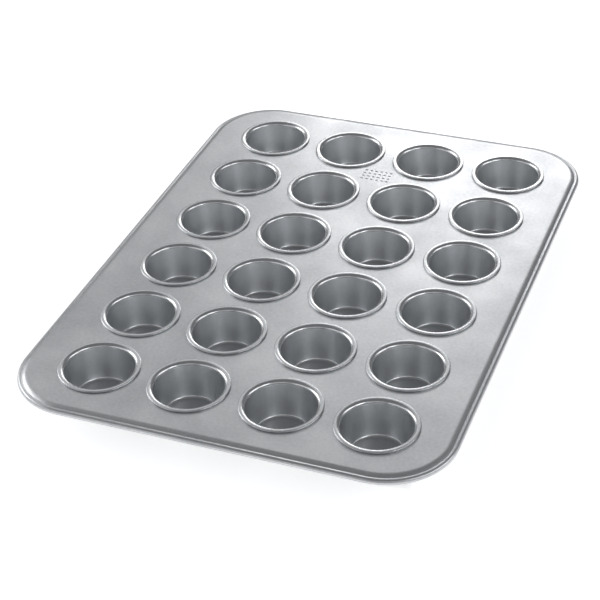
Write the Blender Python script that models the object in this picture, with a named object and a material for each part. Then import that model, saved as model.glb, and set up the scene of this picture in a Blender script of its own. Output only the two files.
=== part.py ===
"""A commercial muffin pan: 24 drawn cups lock-seamed into one sheet frame with a wired rim.

Metres, +Z up. The origin is under the middle of the pan, on the surface that it stands on.
X is the short side (4 cups), Y is the long side (6 cups). The pan comes apart into:
  pan_frame    one sheet with 24 collared holes, its edge stepped down and curled round the wire
  rim_wire     one closed loop of steel wire inside that curl
  cup_rR_cC    24 deep-drawn cups, row R along Y (row 1 at +Y) and column C along X
Each cup's mouth rolls out into a flange over its hole's collar. The flange is turned down and
hemmed back under the collar's lip, so that the cup is locked both ways.
"""

import math

import bmesh
import bpy

# Layout, seen from above
COLUMNS = 4
ROWS = 6
LAND = 0.00955  # flat sheet between one seam and the next, the same both ways
SIDE_MARGIN = 0.028575  # along X, from the outer columns' seams to the rim's outermost edge
END_MARGIN = 0.023825  # along Y, from the end rows' seams to the rim's outermost edge
CORNER_RADIUS = 0.0510  # of the rim's outermost edge

# Stock
FRAME_SHEET = 0.00045
CUP_SHEET = 0.00045
WIRE_DIAMETER = 0.0032
CLEARANCE = 0.00025  # between two pieces that touch on the real pan

# Cup, measured on the inside
MOUTH_RADIUS = 0.0278  # where the flange's flat ends and the mouth starts to roll down
MOUTH_ROLL = 0.0050  # radius of the roll from the flange down into the wall
CUP_DEPTH = 0.0270  # from the top of the seam to the floor
WALL_LEAN = math.radians(11.5)
FLOOR_FILLET = 0.0022
SEAM_WIDTH = 0.00235  # from the mouth out to the seam's outer edge

# Rim, a section across the sheet's edge
WIRE_DROP = 0.0032  # from the sheet's top face down to the wire's centre
SHOULDER_ANGLE = math.radians(32)  # how steeply the shoulder falls before the curl starts
VALLEY_RADIUS = 0.0010  # of the crease between the shoulder and the curl
CURL_RISE_ANGLE = math.radians(35)  # how steeply the curl rises out of the valley
CURL_END_ANGLE = math.radians(235)  # round the wire from straight up, over the outside

# Facets
CUP_SEGMENTS = 16
ROLL_STEPS = 2
FILLET_STEPS = 1
CORNER_SEGMENTS = 6
SHOULDER_STEPS = 3
VALLEY_STEPS = 2
CURL_STEPS = 9
WIRE_SIDE_DETAIL = 2  # a curve's bevel resolution: 8 sides
SMOOTH_ANGLE = math.radians(40)

# Cup and pan sizes that follow
SEAM_RADIUS = MOUTH_RADIUS + SEAM_WIDTH
CUP_PITCH = 2 * SEAM_RADIUS + LAND  # 69.85 mm
PAN_WIDTH = (COLUMNS - 1) * CUP_PITCH + 2 * (SEAM_RADIUS + SIDE_MARGIN)  # 327 mm over the rim
PAN_LENGTH = (ROWS - 1) * CUP_PITCH + 2 * (SEAM_RADIUS + END_MARGIN)  # 457.2 mm over the rim

# Heights in the seam, up from the sheet's top face: hem, lip of the collar, flange
HEM_MIDDLE = CLEARANCE + CUP_SHEET / 2
LIP_MIDDLE = HEM_MIDDLE + CUP_SHEET / 2 + CLEARANCE + FRAME_SHEET / 2
FLANGE_MIDDLE = LIP_MIDDLE + FRAME_SHEET / 2 + CLEARANCE + CUP_SHEET / 2
SEAM_HEIGHT = FLANGE_MIDDLE + CUP_SHEET / 2

# Height of the sheet's top face above the ground: the cups' floors are what the pan stands on
SHEET_TOP = CUP_DEPTH + CUP_SHEET - SEAM_HEIGHT

# Radii in the seam, outwards from the cup's axis
COLLAR_MIDDLE = MOUTH_RADIUS + CLEARANCE + FRAME_SHEET / 2
LIP_EDGE = SEAM_RADIUS - CUP_SHEET - CLEARANCE
HEM_EDGE = COLLAR_MIDDLE + FRAME_SHEET / 2 + CLEARANCE


def clear_scene():
    for thing in list(bpy.data.objects):
        bpy.data.objects.remove(thing, do_unlink=True)


def metal(name, colour, roughness):
    made = bpy.data.materials.new(name)
    made.use_nodes = True
    shader = made.node_tree.nodes["Principled BSDF"]
    shader.inputs["Base Color"].default_value = (*colour, 1.0)
    shader.inputs["Metallic"].default_value = 1.0
    shader.inputs["Roughness"].default_value = roughness
    made.diffuse_color = (*colour, 1.0)
    made.metallic = 1.0
    made.roughness = roughness
    return made


def add_object(name, data, parent, location=(0.0, 0.0, 0.0)):
    made = bpy.data.objects.new(name, data)
    bpy.context.scene.collection.objects.link(made)
    made.parent = parent
    made.location = location
    return made


def mesh_from(bm, name, material):
    bmesh.ops.recalc_face_normals(bm, faces=bm.faces)
    mesh = bpy.data.meshes.new(name)
    bm.to_mesh(mesh)
    bm.free()
    mesh.materials.append(material)
    mesh.shade_smooth()
    mesh.set_sharp_from_angle(angle=SMOOTH_ANGLE)
    return mesh


def sheet_outline(path, thickness):
    """The outline of a sheet whose middle follows path: one side out, then the other side back."""
    left, right = [], []
    for i, (x, z) in enumerate(path):
        before = path[max(i - 1, 0)]
        after = path[min(i + 1, len(path) - 1)]
        into = heading(before, (x, z)) if i > 0 else heading((x, z), after)
        out = heading((x, z), after) if i < len(path) - 1 else into
        middle = into + math.remainder(out - into, 2 * math.pi) / 2
        reach = thickness / 2 / math.cos(middle - into)
        side = (-math.sin(middle) * reach, math.cos(middle) * reach)
        left.append((x + side[0], z + side[1]))
        right.append((x - side[0], z - side[1]))
    return left + right[::-1]


def heading(start, end):
    return math.atan2(end[1] - start[1], end[0] - start[0])


def arc(centre, radius, start, end, steps):
    """Points from angle start to angle end, both measured anticlockwise from +X."""
    angles = [start + (end - start) * i / steps for i in range(steps + 1)]
    return [(centre[0] + radius * math.cos(a), centre[1] + radius * math.sin(a)) for a in angles]


def spin_section(bm, section, centre=(0.0, 0.0)):
    """Turns a chain of (radius, height) points into a surface round a vertical axis at centre."""
    verts = [bm.verts.new((centre[0] + r, centre[1], z)) for r, z in section]
    edges = [bm.edges.new(pair) for pair in zip(verts, verts[1:])]
    bmesh.ops.spin(
        bm,
        geom=verts + edges,
        cent=(*centre, 0.0),
        axis=(0.0, 0.0, 1.0),
        angle=2 * math.pi,
        steps=CUP_SEGMENTS,
        use_merge=True,
    )


def rounded_rectangle(half_width, half_length, radius):
    points = []
    for quarter, (sx, sy) in enumerate(((1, 1), (-1, 1), (-1, -1), (1, -1))):
        corner = (sx * (half_width - radius), sy * (half_length - radius))
        start = quarter * math.pi / 2
        points += arc(corner, radius, start, start + math.pi / 2, CORNER_SEGMENTS)
    return points


def cup_centres():
    """(row, column, x, y), with row 1 at +Y and column 1 at -X."""
    for row in range(ROWS):
        for column in range(COLUMNS):
            x = (column - (COLUMNS - 1) / 2) * CUP_PITCH
            y = ((ROWS - 1) / 2 - row) * CUP_PITCH
            yield row + 1, column + 1, x, y


def rim_path():
    """The middle of the sheet from the flat out to the end of the curl, and the wire's centre.

    Outwards from the line where the flat ends, and up from the sheet's top face. The shoulder
    turns down, the valley turns up, and the curl goes over, round and under the wire, each arc
    meeting the next on the same tangent.
    """
    curl_radius = WIRE_DIAMETER / 2 + CLEARANCE + FRAME_SHEET / 2
    valley_height = -WIRE_DROP + (curl_radius + VALLEY_RADIUS) * math.cos(CURL_RISE_ANGLE)
    valley_start = valley_height - VALLEY_RADIUS * math.cos(SHOULDER_ANGLE)
    shoulder_fall = -FRAME_SHEET / 2 - valley_start
    shoulder_radius = shoulder_fall / (1 - math.cos(SHOULDER_ANGLE))
    valley_out = (shoulder_radius + VALLEY_RADIUS) * math.sin(SHOULDER_ANGLE)
    wire_out = valley_out + (curl_radius + VALLEY_RADIUS) * math.sin(CURL_RISE_ANGLE)

    up = math.pi / 2
    shoulder_centre = (0.0, -FRAME_SHEET / 2 - shoulder_radius)
    shoulder = arc(shoulder_centre, shoulder_radius, up, up - SHOULDER_ANGLE, SHOULDER_STEPS)
    valley_angles = (-up - SHOULDER_ANGLE, -up + CURL_RISE_ANGLE)
    valley = arc((valley_out, valley_height), VALLEY_RADIUS, *valley_angles, VALLEY_STEPS)
    curl_angles = (up + CURL_RISE_ANGLE, up - CURL_END_ANGLE)
    curl = arc((wire_out, -WIRE_DROP), curl_radius, *curl_angles, CURL_STEPS)
    return shoulder + valley[1:] + curl[1:], wire_out


def cup_mesh(material):
    """A drawn cup, its axis at x = y = 0 and the underside of its floor at z = 0."""
    floor = CUP_SHEET / 2
    flange = floor + CUP_DEPTH
    hem = flange - FLANGE_MIDDLE + HEM_MIDDLE
    skirt = SEAM_RADIUS - CUP_SHEET / 2
    up = math.pi / 2

    # The wall is straight between the mouth's roll and the floor's fillet, on a tangent to both
    roll_radius = MOUTH_ROLL - CUP_SHEET / 2
    roll_centre = (MOUTH_RADIUS, flange - roll_radius)
    roll = arc(roll_centre, roll_radius, math.pi - WALL_LEAN, up, ROLL_STEPS)
    fillet_radius = FLOOR_FILLET + CUP_SHEET / 2
    wall_low = floor + fillet_radius * (1 - math.sin(WALL_LEAN))
    wall_in = roll[0][0] - (roll[0][1] - wall_low) * math.tan(WALL_LEAN)
    fillet_centre = (wall_in - fillet_radius * math.cos(WALL_LEAN), floor + fillet_radius)
    fillet = arc(fillet_centre, fillet_radius, -up, -WALL_LEAN, FILLET_STEPS)
    path = [(0.0, floor), *fillet, *roll, (skirt, flange), (skirt, hem), (HEM_EDGE, hem)]
    bm = bmesh.new()
    spin_section(bm, sheet_outline(path, CUP_SHEET))
    bmesh.ops.remove_doubles(bm, verts=bm.verts, dist=1e-6)
    return mesh_from(bm, "drawn_cup", material)


def frame_mesh(material):
    """The sheet with its collared holes and curled edge, its top face at z = 0."""
    path, wire_out = rim_path()
    curl_reach = wire_out + WIRE_DIAMETER / 2 + CLEARANCE + FRAME_SHEET
    flat_size = (PAN_WIDTH / 2 - curl_reach, PAN_LENGTH / 2 - curl_reach)
    flat_corner = CORNER_RADIUS - curl_reach

    bm = bmesh.new()
    loops = []
    for out, height in sheet_outline(path, FRAME_SHEET):
        around = rounded_rectangle(flat_size[0] + out, flat_size[1] + out, flat_corner + out)
        loops.append([bm.verts.new((x, y, height)) for x, y in around])
    for inner, outer in zip(loops, loops[1:]):
        for i in range(len(inner)):
            bm.faces.new((inner[i - 1], inner[i], outer[i], outer[i - 1]))

    collar = [
        (COLLAR_MIDDLE, -FRAME_SHEET / 2),
        (COLLAR_MIDDLE, LIP_MIDDLE),
        (LIP_EDGE, LIP_MIDDLE),
    ]
    section = sheet_outline(collar, FRAME_SHEET)
    inside, outside = section[0], section[-1]
    section[0] = (inside[0], -FRAME_SHEET)
    section[-1] = (outside[0], 0.0)
    for _, _, x, y in cup_centres():
        spin_section(bm, section, (x, y))
    bmesh.ops.remove_doubles(bm, verts=bm.verts, dist=1e-6)

    for height in (0.0, -FRAME_SHEET):
        open_edges = [
            edge
            for edge in bm.edges
            if edge.is_boundary and all(abs(v.co.z - height) < 1e-6 for v in edge.verts)
        ]
        bmesh.ops.triangle_fill(bm, edges=open_edges, use_beauty=True, normal=(0.0, 0.0, 1.0))
    return mesh_from(bm, "frame_sheet", material)


def wire_curve(material):
    """A closed loop of round wire, its centre line at z = 0."""
    curl = WIRE_DIAMETER / 2 + CLEARANCE + FRAME_SHEET
    around = rounded_rectangle(PAN_WIDTH / 2 - curl, PAN_LENGTH / 2 - curl, CORNER_RADIUS - curl)
    curve = bpy.data.curves.new("rim_wire", "CURVE")
    curve.dimensions = "3D"
    curve.bevel_depth = WIRE_DIAMETER / 2
    curve.bevel_resolution = WIRE_SIDE_DETAIL
    spline = curve.splines.new("POLY")
    spline.points.add(len(around) - 1)
    for point, (x, y) in zip(spline.points, around):
        point.co = (x, y, 0.0, 1.0)
    spline.use_cyclic_u = True
    curve.materials.append(material)
    return curve


def build():
    clear_scene()
    frame_steel = metal("aluminised_steel_sheet", (0.52, 0.52, 0.53), 0.34)
    cup_steel = metal("aluminised_steel_cup", (0.47, 0.47, 0.48), 0.30)
    wire_steel = metal("galvanised_wire", (0.42, 0.42, 0.43), 0.45)

    pan = bpy.data.objects.new("muffin_pan", None)
    bpy.context.scene.collection.objects.link(pan)
    add_object("pan_frame", frame_mesh(frame_steel), pan, (0.0, 0.0, SHEET_TOP))
    add_object("rim_wire", wire_curve(wire_steel), pan, (0.0, 0.0, SHEET_TOP - WIRE_DROP))
    cup = cup_mesh(cup_steel)
    for row, column, x, y in cup_centres():
        add_object(f"cup_r{row}_c{column}", cup, pan, (x, y, 0.0))


build()
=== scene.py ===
"""The finished look of a 24-cup muffin pan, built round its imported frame. Metres, +Z up.

The sections follow the order in which such a pan is made: the pierced sheet with its rim, the
cups seamed into it, and the wire that the rim is curled round. The studio comes last.
"""

import math

import bmesh
import bpy
from mathutils import Matrix, Vector


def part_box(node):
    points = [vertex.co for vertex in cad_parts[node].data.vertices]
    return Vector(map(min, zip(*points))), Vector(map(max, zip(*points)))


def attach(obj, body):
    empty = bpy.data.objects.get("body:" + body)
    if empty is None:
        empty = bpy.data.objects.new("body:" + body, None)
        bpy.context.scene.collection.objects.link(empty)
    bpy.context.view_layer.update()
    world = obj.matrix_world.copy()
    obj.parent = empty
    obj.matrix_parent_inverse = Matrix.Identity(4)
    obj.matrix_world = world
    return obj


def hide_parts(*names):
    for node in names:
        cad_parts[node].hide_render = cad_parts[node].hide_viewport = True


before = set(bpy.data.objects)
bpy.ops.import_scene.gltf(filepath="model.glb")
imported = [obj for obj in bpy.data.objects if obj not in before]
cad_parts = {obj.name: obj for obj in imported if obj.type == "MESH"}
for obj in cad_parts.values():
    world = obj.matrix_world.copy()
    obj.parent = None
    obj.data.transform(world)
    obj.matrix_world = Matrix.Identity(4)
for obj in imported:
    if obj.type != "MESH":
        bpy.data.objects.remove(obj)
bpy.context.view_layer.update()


# ---------------------------------------------------------------------------------------------
# Frame sheet. One blank of glazed aluminised steel, pierced with 24 holes whose edges are drawn
# up into collars. Its rim falls in a soft shoulder to a crease, then curls over and under the
# rim wire. A grid of small punched dimples, one for each cup, marks the pan's size.

SHEET_THICKNESS = 0.00045
SEAM_HEIGHT = 0.00141  # three thicknesses of closed sheet: hem, collar lip and flange
SEAM_GAP = 0.00003  # what is left between the layers once the seam is pressed shut
CORNER_RADIUS = 0.0510  # of the rim's outermost edge
CURL_RADIUS = 0.0023  # over the outside of the curled sheet
CURL_DROP = 0.0032  # from the sheet's face down to the middle of the curl
SHOULDER_ANGLE = math.radians(31)
CREASE_RADIUS = 0.0008
CURL_RISE_ANGLE = math.radians(25)  # how steeply the curl climbs out of the crease
CURL_END_ANGLE = math.radians(235)  # round the wire, from straight up over the outside
SUPPORT_WIDTH = 0.0006  # flat strip beside each bend, which keeps the flat's shading flat
COLLAR_RADIUS = 0.02785  # inside face of the collar
COLLAR_BEND = 0.0003
LIP_BEND = 0.0001
LIP_REACH = 0.0296  # outer edge of the collar's lip, inside the fold of the cup's flange
DIMPLE_RADIUS = 0.0012
DIMPLE_DEPTH = 0.00032
DIMPLE_SPACING = (0.0044, 0.0046)
SHOULDER_STEPS = 12
CREASE_STEPS = 8
CURL_STEPS = 30
COLLAR_STEPS = 5
LIP_STEPS = 4
CORNER_STEPS = 40
RING_SIDES = 96
DIMPLE_SIDES = 16
UP = math.pi / 2  # the angle in a section that points up

rim_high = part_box("pan_frame")[1]
seam_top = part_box("cup_r1_c1")[1].z
sheet_top = seam_top - SEAM_HEIGHT
corner = Vector((rim_high.x - CORNER_RADIUS, rim_high.y - CORNER_RADIUS, 0.0))
cup_boxes = {name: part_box(name) for name in sorted(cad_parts) if name.startswith("cup_")}
cup_centres = {name: (low.xy + high.xy) / 2 for name, (low, high) in cup_boxes.items()}


def linear(colour):
    """A "#RRGGBB" sRGB colour as linear RGBA."""
    shares = [int(colour[i : i + 2], 16) / 255 for i in (1, 3, 5)]
    return (*((s / 12.92 if s <= 0.04045 else ((s + 0.055) / 1.055) ** 2.4) for s in shares), 1.0)


def add_node(tree, kind, inputs=(), **settings):
    """One shader node with its settings, each input given a value or another node's socket."""
    made = tree.nodes.new(kind)
    for name, value in settings.items():
        setattr(made, name, value)
    for socket, value in dict(inputs).items():
        if isinstance(value, bpy.types.NodeSocket):
            tree.links.new(value, made.inputs[socket])
        else:
            made.inputs[socket].default_value = value
    return made


def new_material(name):
    """A new material, its node tree, and the Principled shader that its nodes feed."""
    made = bpy.data.materials.new(name)
    made.use_nodes = True
    return made, made.node_tree, made.node_tree.nodes["Principled BSDF"]


def arc(centre, radius, start, end, steps):
    """Points on an arc from angle start to angle end, anticlockwise from +X when end > start."""
    turn = [start + (end - start) * i / steps for i in range(steps + 1)]
    return [(centre[0] + radius * math.cos(a), centre[1] + radius * math.sin(a)) for a in turn]


def draw_section(name, points):
    """A new mesh object in edit mode: a line drawn through (x, z) points in the plane y = 0."""
    places = [Vector((x, 0.0, z)) for x, z in points]
    bpy.ops.object.select_all(action="DESELECT")
    bpy.ops.mesh.primitive_plane_add(size=0.01)
    made = bpy.context.active_object
    made.name = made.data.name = name
    bpy.ops.object.mode_set(mode="EDIT")
    bpy.ops.mesh.select_mode(type="VERT")
    bpy.ops.mesh.merge(type="CENTER")
    bpy.ops.transform.translate(value=places[0])
    for before, after in zip(places, places[1:]):
        bpy.ops.mesh.extrude_region_move(TRANSFORM_OT_translate={"value": after - before})
    bpy.ops.mesh.select_all(action="SELECT")
    return made


def spin_round(steps):
    """Turns the section being edited once round the Z axis, and closes it."""
    bpy.ops.mesh.spin(steps=steps, angle=math.tau, center=(0, 0, 0), axis=(0, 0, 1))
    bpy.ops.mesh.select_all(action="SELECT")
    bpy.ops.mesh.remove_doubles(threshold=1e-6)


def select_where(test):
    """Selects the vertices being edited that pass the test, and the edges between them."""
    mesh = bmesh.from_edit_mesh(bpy.context.edit_object.data)
    for vert in mesh.verts:
        vert.select_set(bool(test(vert)))
    mesh.select_flush_mode()
    bmesh.update_edit_mesh(bpy.context.edit_object.data)


def sweep_round_pan():
    """Sweeps the section being edited, at y = 0, round a quarter of the rim and mirrors it twice."""
    piece = bpy.context.edit_object
    bpy.ops.transform.translate(value=(0.0, corner.y, 0.0))
    # Spin turns clockwise about its axis, so this goes from the long side to the short one
    bpy.ops.mesh.spin(steps=CORNER_STEPS, angle=math.pi / 2, center=corner, axis=(0, 0, -1))
    bpy.ops.mesh.extrude_region_move(TRANSFORM_OT_translate={"value": (-corner.x, 0.0, 0.0)})
    select_where(lambda v: abs(v.co.y - corner.y) < 1e-6 and v.co.x > corner.x)
    bpy.ops.mesh.extrude_region_move(TRANSFORM_OT_translate={"value": (0.0, -corner.y, 0.0)})
    bpy.ops.object.mode_set(mode="OBJECT")
    mirror = piece.modifiers.new("mirror", "MIRROR")
    mirror.use_axis = (True, True, False)
    mirror.merge_threshold = 1e-6
    bpy.ops.object.modifier_apply(modifier=mirror.name)


def face_up():
    """Makes the normals of the open sheet being edited agree, its largest face facing up."""
    bpy.ops.mesh.select_all(action="SELECT")
    bpy.ops.mesh.normals_make_consistent(inside=False)
    mesh = bmesh.from_edit_mesh(bpy.context.edit_object.data)
    if max(mesh.faces, key=lambda face: face.calc_area()).normal.z < 0:
        bpy.ops.mesh.flip_normals()


def thicken(piece, thickness):
    """Gives an open sheet its wall, behind the faces that were drawn, and shades it smooth."""
    wall = piece.modifiers.new("wall", "SOLIDIFY")
    wall.thickness = thickness
    wall.offset = -1.0
    wall.use_even_offset = True
    bpy.ops.object.modifier_apply(modifier=wall.name)
    bpy.ops.object.shade_smooth_by_angle(angle=math.radians(40))


def copy_to(piece, name, place):
    """A copy of a piece with a mesh of its own, which holds its place."""
    made = piece.copy()
    made.data = piece.data.copy()
    made.data.transform(Matrix.Translation(place))
    made.name = made.data.name = name
    bpy.context.scene.collection.objects.link(made)
    return made


# The rim's section over its outer face, (out, up) from where the flat ends. The shoulder, the
# crease and the curl meet on common tangents.
crease_up = (CURL_RADIUS + CREASE_RADIUS) * math.cos(CURL_RISE_ANGLE) - CURL_DROP
shoulder_fall = CREASE_RADIUS * math.cos(SHOULDER_ANGLE) - crease_up
shoulder_radius = shoulder_fall / (1 - math.cos(SHOULDER_ANGLE))
crease_out = (shoulder_radius + CREASE_RADIUS) * math.sin(SHOULDER_ANGLE)
curl_out = crease_out + (CURL_RADIUS + CREASE_RADIUS) * math.sin(CURL_RISE_ANGLE)
shoulder_turn = (UP, UP - SHOULDER_ANGLE, SHOULDER_STEPS)
crease_turn = (-UP - SHOULDER_ANGLE, -UP + CURL_RISE_ANGLE, CREASE_STEPS)
curl_turn = (UP + CURL_RISE_ANGLE, UP - CURL_END_ANGLE, CURL_STEPS)
rim_section = [
    (-SUPPORT_WIDTH, 0.0),
    *arc((0.0, -shoulder_radius), shoulder_radius, *shoulder_turn),
    *arc((crease_out, crease_up), CREASE_RADIUS, *crease_turn)[1:],
    *arc((curl_out, -CURL_DROP), CURL_RADIUS, *curl_turn)[1:],
]
flat_edge = rim_high.x - curl_out - CURL_RADIUS

frame_sheet = draw_section(
    "frame_sheet", [(flat_edge + out, sheet_top + up) for out, up in rim_section]
)
sweep_round_pan()

# One collar's section over the flat's upper face: in along the flat, up, and out under the lip
collar_face = COLLAR_RADIUS + SHEET_THICKNESS
lip_under = SEAM_HEIGHT - 2 * SHEET_THICKNESS - SEAM_GAP / 2
collar_section = [
    (collar_face + COLLAR_BEND + SUPPORT_WIDTH, 0.0),
    *arc((collar_face + COLLAR_BEND, COLLAR_BEND), COLLAR_BEND, -UP, -math.pi, COLLAR_STEPS),
    *arc((collar_face + LIP_BEND, lip_under - LIP_BEND), LIP_BEND, math.pi, UP, LIP_STEPS),
    (LIP_REACH, lip_under),
]
collar = draw_section("collar", [(x, sheet_top + z) for x, z in collar_section])
spin_round(RING_SIDES)
bpy.ops.object.mode_set(mode="OBJECT")

# One dimple, a shallow dish with a narrow flat round it, as shares of its radius and depth
dimple_section = [(1.5, 0.0), (1.15, 0.0), (0.95, 0.12), (0.75, 0.5), (0.4, 0.88), (0.0, 1.0)]
dimple = draw_section(
    "dimple", [(x * DIMPLE_RADIUS, sheet_top - z * DIMPLE_DEPTH) for x, z in dimple_section]
)
spin_round(DIMPLE_SIDES)
bpy.ops.object.mode_set(mode="OBJECT")

# The dimples lie in the space between four cups, near the far end
columns = sorted({round(centre.x, 5) for centre in cup_centres.values()})
rows = sorted({round(centre.y, 5) for centre in cup_centres.values()})
mark = Vector((0.0, (rows[-1] + rows[-2]) / 2, 0.0))
parts = [copy_to(collar, "collar", centre.to_3d()) for centre in cup_centres.values()]
for i in range(len(rows)):
    for j in range(len(columns)):
        x = (i - (len(rows) - 1) / 2) * DIMPLE_SPACING[0]
        y = (j - (len(columns) - 1) / 2) * DIMPLE_SPACING[1]
        parts.append(copy_to(dimple, "dimple", mark + Vector((x, y, 0.0))))
bpy.data.objects.remove(collar)
bpy.data.objects.remove(dimple)

# The flat is filled in between the rim, the collars and the dimples
bpy.ops.object.select_all(action="DESELECT")
for part in (*parts, frame_sheet):
    part.select_set(True)
bpy.context.view_layer.objects.active = frame_sheet
bpy.ops.object.join()
bpy.ops.object.mode_set(mode="EDIT")
select_where(
    lambda v: abs(v.co.z - sheet_top) < 1e-7 and any(e.is_boundary for e in v.link_edges)
)
bpy.ops.mesh.fill(use_beauty=True)
face_up()
bpy.ops.object.mode_set(mode="OBJECT")
thicken(frame_sheet, SHEET_THICKNESS)

# Glazed aluminised steel: dipped in molten aluminium-silicon and coated with a clear silicone
# glaze. It gives the eye a cool satin grey with a fine cloudy mottle and soft broad reflections.
MOTTLE_SIZE = 0.0024
CLOUD_SIZE = 0.040
PEEL_SIZE = 0.0009  # the glaze's orange peel, drawn coarser than it is so that it shows
SHEET_RELIEF = 0.00003
SHEET_TONE = {"From Min": 0.55, "From Max": 1.05}  # where the mottle and the clouds mostly lie

sheet_steel, tree, shader = new_material("glazed_aluminised_steel_sheet")
place = add_node(tree, "ShaderNodeTexCoord").outputs["Object"]
mottle = add_node(
    tree, "ShaderNodeTexNoise", {"Vector": place, "Scale": 1 / MOTTLE_SIZE, "Detail": 3.0}
).outputs["Fac"]
cloud = add_node(
    tree, "ShaderNodeTexNoise", {"Vector": place, "Scale": 1 / CLOUD_SIZE, "Detail": 2.0}
).outputs["Fac"]
peel = add_node(
    tree, "ShaderNodeTexNoise", {"Vector": place, "Scale": 1 / PEEL_SIZE, "Detail": 2.0}
).outputs["Fac"]
tone = add_node(
    tree, "ShaderNodeMath", {0: mottle, 1: 0.6, 2: cloud}, operation="MULTIPLY_ADD"
).outputs[0]
share = add_node(tree, "ShaderNodeMapRange", {"Value": tone, **SHEET_TONE}).outputs[0]
colour = add_node(
    tree,
    "ShaderNodeMix",
    {"Factor": share, "A": linear("#BDBFC2"), "B": linear("#D2D3D5")},
    data_type="RGBA",
)
roughness = add_node(
    tree, "ShaderNodeMapRange", {"Value": tone, **SHEET_TONE, "To Min": 0.42, "To Max": 0.34}
).outputs[0]
height = add_node(
    tree, "ShaderNodeMath", {0: mottle, 1: 1.5, 2: peel}, operation="MULTIPLY_ADD"
).outputs[0]
bump = add_node(
    tree, "ShaderNodeBump", {"Height": height, "Strength": 0.6, "Distance": SHEET_RELIEF}
).outputs["Normal"]
tree.links.new(colour.outputs["Result"], shader.inputs["Base Color"])
tree.links.new(roughness, shader.inputs["Roughness"])
tree.links.new(bump, shader.inputs["Normal"])
shader.inputs["Metallic"].default_value = 1.0
shader.inputs["Coat Weight"].default_value = 0.25
shader.inputs["Coat Roughness"].default_value = 0.15
frame_sheet.data.materials.append(sheet_steel)

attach(frame_sheet, "root")
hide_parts("pan_frame")


# ---------------------------------------------------------------------------------------------
# Cups. Each is deep-drawn from its own disc of the same steel: flat floor, tapered wall, rolled
# mouth. Its flange is turned down over the collar of its hole, hemmed back under the collar's
# lip, and pressed flat, so that it stands as a low ring on the frame sheet.

MOUTH_RADIUS = 0.0283  # where the flange's flat ends and the mouth rolls down
MOUTH_ROLL = 0.0032  # on the inside face, from the flange down into the wall
WALL_LEAN = math.radians(11.5)
FLOOR_FILLET = 0.0024
FOLD_TOP = 0.0006  # radius of the fold's upper edge
FOLD_BOTTOM = 0.0005
HEM_REACH = 0.0287  # the hem's inner edge
FLOOR_STEPS = 4
FILLET_STEPS = 7
WALL_STEPS = 6
ROLL_STEPS = 14
FOLD_TOP_STEPS = 6
FOLD_BOTTOM_STEPS = 5
CUP_SIDES = 96

cup_low, cup_high = cup_boxes["cup_r1_c1"]
seam_radius = (cup_high.x - cup_low.x) / 2
floor_top = cup_low.z + SHEET_THICKNESS

# The wall is straight between the floor's fillet and the mouth's roll, on a tangent to both
mouth = arc((MOUTH_RADIUS, seam_top - MOUTH_ROLL), MOUTH_ROLL, math.pi - WALL_LEAN, UP, ROLL_STEPS)
wall_end = Vector(mouth[0])
wall_low = floor_top + FLOOR_FILLET * (1 - math.sin(WALL_LEAN))
wall_start = Vector((wall_end.x - (wall_end.y - wall_low) * math.tan(WALL_LEAN), wall_low))
floor_radius = wall_start.x - FLOOR_FILLET * math.cos(WALL_LEAN)
fillet = arc((floor_radius, floor_top + FLOOR_FILLET), FLOOR_FILLET, -UP, -WALL_LEAN, FILLET_STEPS)
hem_under = seam_top - SEAM_HEIGHT + SEAM_GAP
cup_section = [
    *[(floor_radius * i / FLOOR_STEPS, floor_top) for i in range(FLOOR_STEPS)],
    *fillet,
    *[tuple(wall_start.lerp(wall_end, i / WALL_STEPS)) for i in range(1, WALL_STEPS)],
    *mouth,
    *arc((seam_radius - FOLD_TOP, seam_top - FOLD_TOP), FOLD_TOP, UP, 0.0, FOLD_TOP_STEPS),
    *arc(
        (seam_radius - FOLD_BOTTOM, hem_under + FOLD_BOTTOM),
        FOLD_BOTTOM, 0.0, -UP, FOLD_BOTTOM_STEPS,
    ),
    (HEM_REACH, hem_under),
]
cup = draw_section("cup", cup_section)
spin_round(CUP_SIDES)
face_up()
bpy.ops.object.mode_set(mode="OBJECT")
thicken(cup, SHEET_THICKNESS)

# Where each point lies in its own cup, so that the draw lines run up every cup's wall
cup_place = cup.data.attributes.new("cup_place", "FLOAT_VECTOR", "POINT")
cup_place.data.foreach_set("vector", [part for vert in cup.data.vertices for part in vert.co])

# The same glazed aluminised steel after deep drawing: the die leaves faint upright draw lines on
# the satin wall, and burnishes the rolled mouth, which catches crisp thin highlights.
DRAW_LINE_WIDTH = 0.0011
DRAW_LINE_LENGTH = 0.050
CUP_RELIEF = 0.00002
MOUTH_ROUGHNESS = 0.26  # also the floor's, which the punch presses smooth
WALL_ROUGHNESS = 0.38
CUP_VARIETY = 40.0  # moves the pattern this many times further than the cup itself is moved

cup_steel, tree, shader = new_material("glazed_aluminised_steel_drawn")
place = add_node(tree, "ShaderNodeTexCoord").outputs["Object"]
inside = add_node(tree, "ShaderNodeAttribute", attribute_name="cup_place").outputs["Vector"]
centre = add_node(
    tree, "ShaderNodeVectorMath", {0: place, 1: inside}, operation="SUBTRACT"
).outputs[0]
level = add_node(
    tree, "ShaderNodeVectorMath", {0: inside, 1: (1.0, 1.0, 0.0)}, operation="MULTIPLY"
).outputs[0]
outwards = add_node(tree, "ShaderNodeVectorMath", {0: level}, operation="NORMALIZE").outputs[0]
round_wall = add_node(
    tree,
    "ShaderNodeVectorMath",
    {0: outwards, 1: (MOUTH_RADIUS / DRAW_LINE_WIDTH,) * 3, 2: centre},
    operation="MULTIPLY_ADD",
).outputs[0]
up_wall = add_node(
    tree,
    "ShaderNodeVectorMath",
    {0: inside, 1: (0.0, 0.0, 1 / DRAW_LINE_LENGTH), 2: round_wall},
    operation="MULTIPLY_ADD",
).outputs[0]
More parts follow.
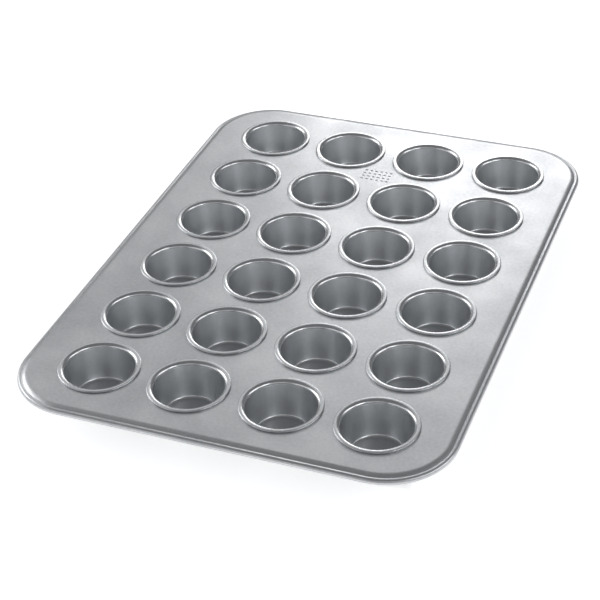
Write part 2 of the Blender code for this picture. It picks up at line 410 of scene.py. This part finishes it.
own = add_node(
    tree,
    "ShaderNodeVectorMath",
    {0: centre, 1: (CUP_VARIETY,) * 3, 2: up_wall},
    operation="MULTIPLY_ADD",
).outputs[0]
lines = add_node(
    tree, "ShaderNodeTexNoise", {"Vector": own, "Scale": 1.0, "Detail": 3.0, "Roughness": 0.6}
).outputs["Fac"]
wide_lines = add_node(
    tree, "ShaderNodeTexNoise", {"Vector": own, "Scale": 0.22, "Detail": 1.0}
).outputs["Fac"]
up = add_node(tree, "ShaderNodeSeparateXYZ", {0: inside}).outputs["Z"]
above_floor = add_node(
    tree,
    "ShaderNodeMapRange",
    {"Value": up, "From Min": floor_top, "From Max": floor_top + 2 * FLOOR_FILLET},
    interpolation_type="SMOOTHSTEP",
).outputs[0]
below_mouth = add_node(
    tree,
    "ShaderNodeMapRange",
    {"Value": up, "From Min": seam_top - MOUTH_ROLL / 3, "From Max": seam_top - 2 * MOUTH_ROLL},
    interpolation_type="SMOOTHSTEP",
).outputs[0]
on_wall = add_node(
    tree, "ShaderNodeMath", {0: above_floor, 1: below_mouth}, operation="MULTIPLY"
).outputs[0]
both = add_node(
    tree, "ShaderNodeMath", {0: wide_lines, 1: 0.8, 2: lines}, operation="MULTIPLY_ADD"
).outputs[0]
drawn = add_node(
    tree, "ShaderNodeMath", {0: both, 1: on_wall}, operation="MULTIPLY"
).outputs[0]
mottle = add_node(
    tree, "ShaderNodeTexNoise", {"Vector": place, "Scale": 1 / MOTTLE_SIZE, "Detail": 3.0}
).outputs["Fac"]
share = add_node(
    tree, "ShaderNodeMath", {0: drawn, 1: 0.35, 2: mottle}, operation="MULTIPLY_ADD"
).outputs[0]
tone = add_node(
    tree, "ShaderNodeMapRange", {"Value": share, "From Min": 0.3, "From Max": 1.1}
).outputs[0]
colour = add_node(
    tree,
    "ShaderNodeMix",
    {"Factor": tone, "A": linear("#C9CBCD"), "B": linear("#D3D5D7")},
    data_type="RGBA",
)
roughness = add_node(
    tree,
    "ShaderNodeMapRange",
    {"Value": on_wall, "To Min": MOUTH_ROUGHNESS, "To Max": WALL_ROUGHNESS},
).outputs[0]
bump = add_node(
    tree, "ShaderNodeBump", {"Height": share, "Strength": 0.1, "Distance": CUP_RELIEF}
).outputs["Normal"]
tree.links.new(colour.outputs["Result"], shader.inputs["Base Color"])
tree.links.new(roughness, shader.inputs["Roughness"])
tree.links.new(bump, shader.inputs["Normal"])
shader.inputs["Metallic"].default_value = 1.0
shader.inputs["Coat Weight"].default_value = 0.25
shader.inputs["Coat Roughness"].default_value = 0.12
cup.data.materials.append(cup_steel)

for name, centre in cup_centres.items():
    drawn_cup = copy_to(cup, name.replace("cup_", "drawn_cup_"), centre.to_3d())
    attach(drawn_cup, "root")
    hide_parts(name)
bpy.data.objects.remove(cup)


# ---------------------------------------------------------------------------------------------
# Rim wire. Galvanised mild steel wire, bent round the pan and butted end to end, which stiffens
# the curled edge. It shows only from below, in the curl's open side.

WIRE_RADIUS = 0.0016
WIRE_SIDES = 20

wire_out = rim_high.x - CURL_RADIUS
wire_up = sheet_top - CURL_DROP
rim_wire = draw_section(
    "rim_wire_loop", arc((wire_out, wire_up), WIRE_RADIUS, 0.0, math.tau, WIRE_SIDES)
)
bpy.ops.mesh.remove_doubles(threshold=1e-6)
sweep_round_pan()
bpy.ops.object.mode_set(mode="EDIT")
bpy.ops.mesh.select_all(action="SELECT")
bpy.ops.mesh.remove_doubles(threshold=1e-6)
bpy.ops.mesh.normals_make_consistent(inside=False)
bpy.ops.object.mode_set(mode="OBJECT")
bpy.ops.object.shade_smooth()

# Galvanised wire: drawn, then zinc-coated. Duller and bluer than the sheet, with short dull
# patches where the zinc has run.
ZINC_PATCH = 0.004
zinc, tree, shader = new_material("galvanised_steel_wire")
place = add_node(tree, "ShaderNodeTexCoord").outputs["Object"]
patch = add_node(
    tree, "ShaderNodeTexNoise", {"Vector": place, "Scale": 1 / ZINC_PATCH, "Detail": 4.0}
).outputs["Fac"]
colour = add_node(
    tree,
    "ShaderNodeMix",
    {"Factor": patch, "A": linear("#8E9297"), "B": linear("#B6BABF")},
    data_type="RGBA",
)
roughness = add_node(
    tree, "ShaderNodeMapRange", {"Value": patch, "To Min": 0.35, "To Max": 0.6}
).outputs[0]
tree.links.new(colour.outputs["Result"], shader.inputs["Base Color"])
tree.links.new(roughness, shader.inputs["Roughness"])
shader.inputs["Metallic"].default_value = 1.0
rim_wire.data.materials.append(zinc)

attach(rim_wire, "root")
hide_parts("rim_wire")


# ---------------------------------------------------------------------------------------------
# Studio. A pale opal table lit from below, softboxes all round, and a long lens. The table's glow
# is turned down under the pan, a painted shadow, so that the cups' outsides stand over a shade.

VIEW_TURN = math.radians(21.8)  # round from -Y towards +X
VIEW_RISE = math.radians(34.9)
VIEW_ROLL = math.radians(2.24)
VIEW_DISTANCE = 1.238
VIEW_TARGET = Vector((0.0031, -0.0522, sheet_top + SEAM_HEIGHT / 2))
LENS = 98.5
SENSOR = 36.0
LIGHT_DISTANCE = 3.0
ROOM_LIGHT = 0.34
TABLE_SIZE = 12.0
TABLE_DROP = 0.0002  # keeps the table's face clear of the cups' undersides
HAZE_SIZE = 0.5
TABLE_GLOW = 0.62
# The table's glow under the pan, turned down to paint a shadow there
PAINTED_SHADOW_GLOW = 0.02
PAINTED_SHADOW_INSET = 0.024  # how far inside the pan's outline the painted shadow ends and the full glow begins
PAINTED_SHADOW_SOFTNESS = 0.020

ahead = Vector((-math.sin(VIEW_TURN), math.cos(VIEW_TURN), 0.0))
rightward = Vector((math.cos(VIEW_TURN), math.sin(VIEW_TURN), 0.0))


def towards(turn, rise):
    """A direction from the pan: turned to the right of the way the camera faces, and raised."""
    level = ahead * math.cos(turn) + rightward * math.sin(turn)
    return level * math.cos(rise) + Vector((0.0, 0.0, math.sin(rise)))


def softbox(name, turn, rise, width, height, power):
    """A rectangular light facing the pan, at a turn and rise in degrees."""
    direction = towards(math.radians(turn), math.radians(rise))
    bpy.ops.object.light_add(type="AREA", location=direction * LIGHT_DISTANCE)
    made = bpy.context.active_object
    made.name = made.data.name = name
    made.data.shape = "RECTANGLE"
    made.data.size = width
    made.data.size_y = height
    made.data.energy = power
    made.rotation_euler = (-direction).to_track_quat("-Z", "Y").to_euler()
    made.visible_camera = False


# The two boxes behind shade the sheet from dark at the near left to bright at the far right. The
# left box draws the crescents on the mouths' right sides and the front right one the arcs on
# their left, and the others light the cups' walls from low down.
softbox("back_box", 12, 21, 1.1, 0.9, 12.0)
softbox("wide_back_box", -14, 37, 2.8, 1.1, 5.5)
softbox("left_box", -60, 29, 1.9, 1.3, 26.0)
softbox("front_left_box", -116, 26, 3.2, 1.0, 10.0)
softbox("front_box", 178, 34, 2.4, 0.8, 4.0)
softbox("front_right_box", 134, 36, 1.1, 0.8, 9.0)
softbox("right_box", 98, 28, 1.8, 1.0, 13.0)

bpy.ops.mesh.primitive_plane_add(size=TABLE_SIZE, location=(0.0, 0.0, -TABLE_DROP))
table = bpy.context.active_object
table.name = "opal_table"
opal, tree, shader = new_material("opal_acrylic_with_painted_shadow")
place = add_node(tree, "ShaderNodeTexCoord").outputs["Object"]
haze = add_node(
    tree, "ShaderNodeTexNoise", {"Vector": place, "Scale": 1 / HAZE_SIZE}
).outputs["Fac"]
colour = add_node(
    tree,
    "ShaderNodeMix",
    {"Factor": haze, "A": linear("#F2F3F4"), "B": linear("#F8F8F8")},
    data_type="RGBA",
)
# A painted shadow: the table's glow fades down inside the pan's outline
beside = add_node(tree, "ShaderNodeVectorMath", {0: place}, operation="ABSOLUTE").outputs[0]
painted_shadow_reach = (rim_high.x - PAINTED_SHADOW_INSET, rim_high.y - PAINTED_SHADOW_INSET, 0.0)
beyond = add_node(
    tree, "ShaderNodeVectorMath", {0: beside, 1: painted_shadow_reach}, operation="SUBTRACT"
).outputs[0]
sides = add_node(tree, "ShaderNodeSeparateXYZ", {0: beyond}).outputs
outside = add_node(
    tree, "ShaderNodeMath", {0: sides["X"], 1: sides["Y"]}, operation="MAXIMUM"
).outputs[0]
glow_with_painted_shadow = add_node(
    tree,
    "ShaderNodeMapRange",
    {
        "Value": outside,
        "From Min": -PAINTED_SHADOW_SOFTNESS,
        "From Max": 0.0,
        "To Min": PAINTED_SHADOW_GLOW,
        "To Max": TABLE_GLOW,
    },
).outputs[0]
tree.links.new(colour.outputs["Result"], shader.inputs["Base Color"])
tree.links.new(glow_with_painted_shadow, shader.inputs["Emission Strength"])
shader.inputs["Roughness"].default_value = 0.6
shader.inputs["Emission Color"].default_value = (1.0, 1.0, 1.0, 1.0)
table.data.materials.append(opal)

world = bpy.data.worlds.new("studio")
world.use_nodes = True
world.node_tree.nodes["Background"].inputs["Color"].default_value = linear("#C8C9CB")
world.node_tree.nodes["Background"].inputs["Strength"].default_value = ROOM_LIGHT
bpy.context.scene.world = world
bpy.context.scene.view_settings.view_transform = "Standard"

away = towards(0.0, -VIEW_RISE)  # the way that the camera looks
top = rightward.cross(away)
roll = Matrix.Rotation(VIEW_ROLL, 3, away)
bpy.ops.object.camera_add()
camera = bpy.context.active_object
camera.data.lens = LENS
camera.data.sensor_width = SENSOR
camera.data.clip_end = 50.0
axes = Matrix((rightward, top, -away)).transposed()
stand = Matrix.Translation(VIEW_TARGET - away * VIEW_DISTANCE)
camera.matrix_world = stand @ (roll @ axes).to_4x4()
bpy.context.scene.camera = camera
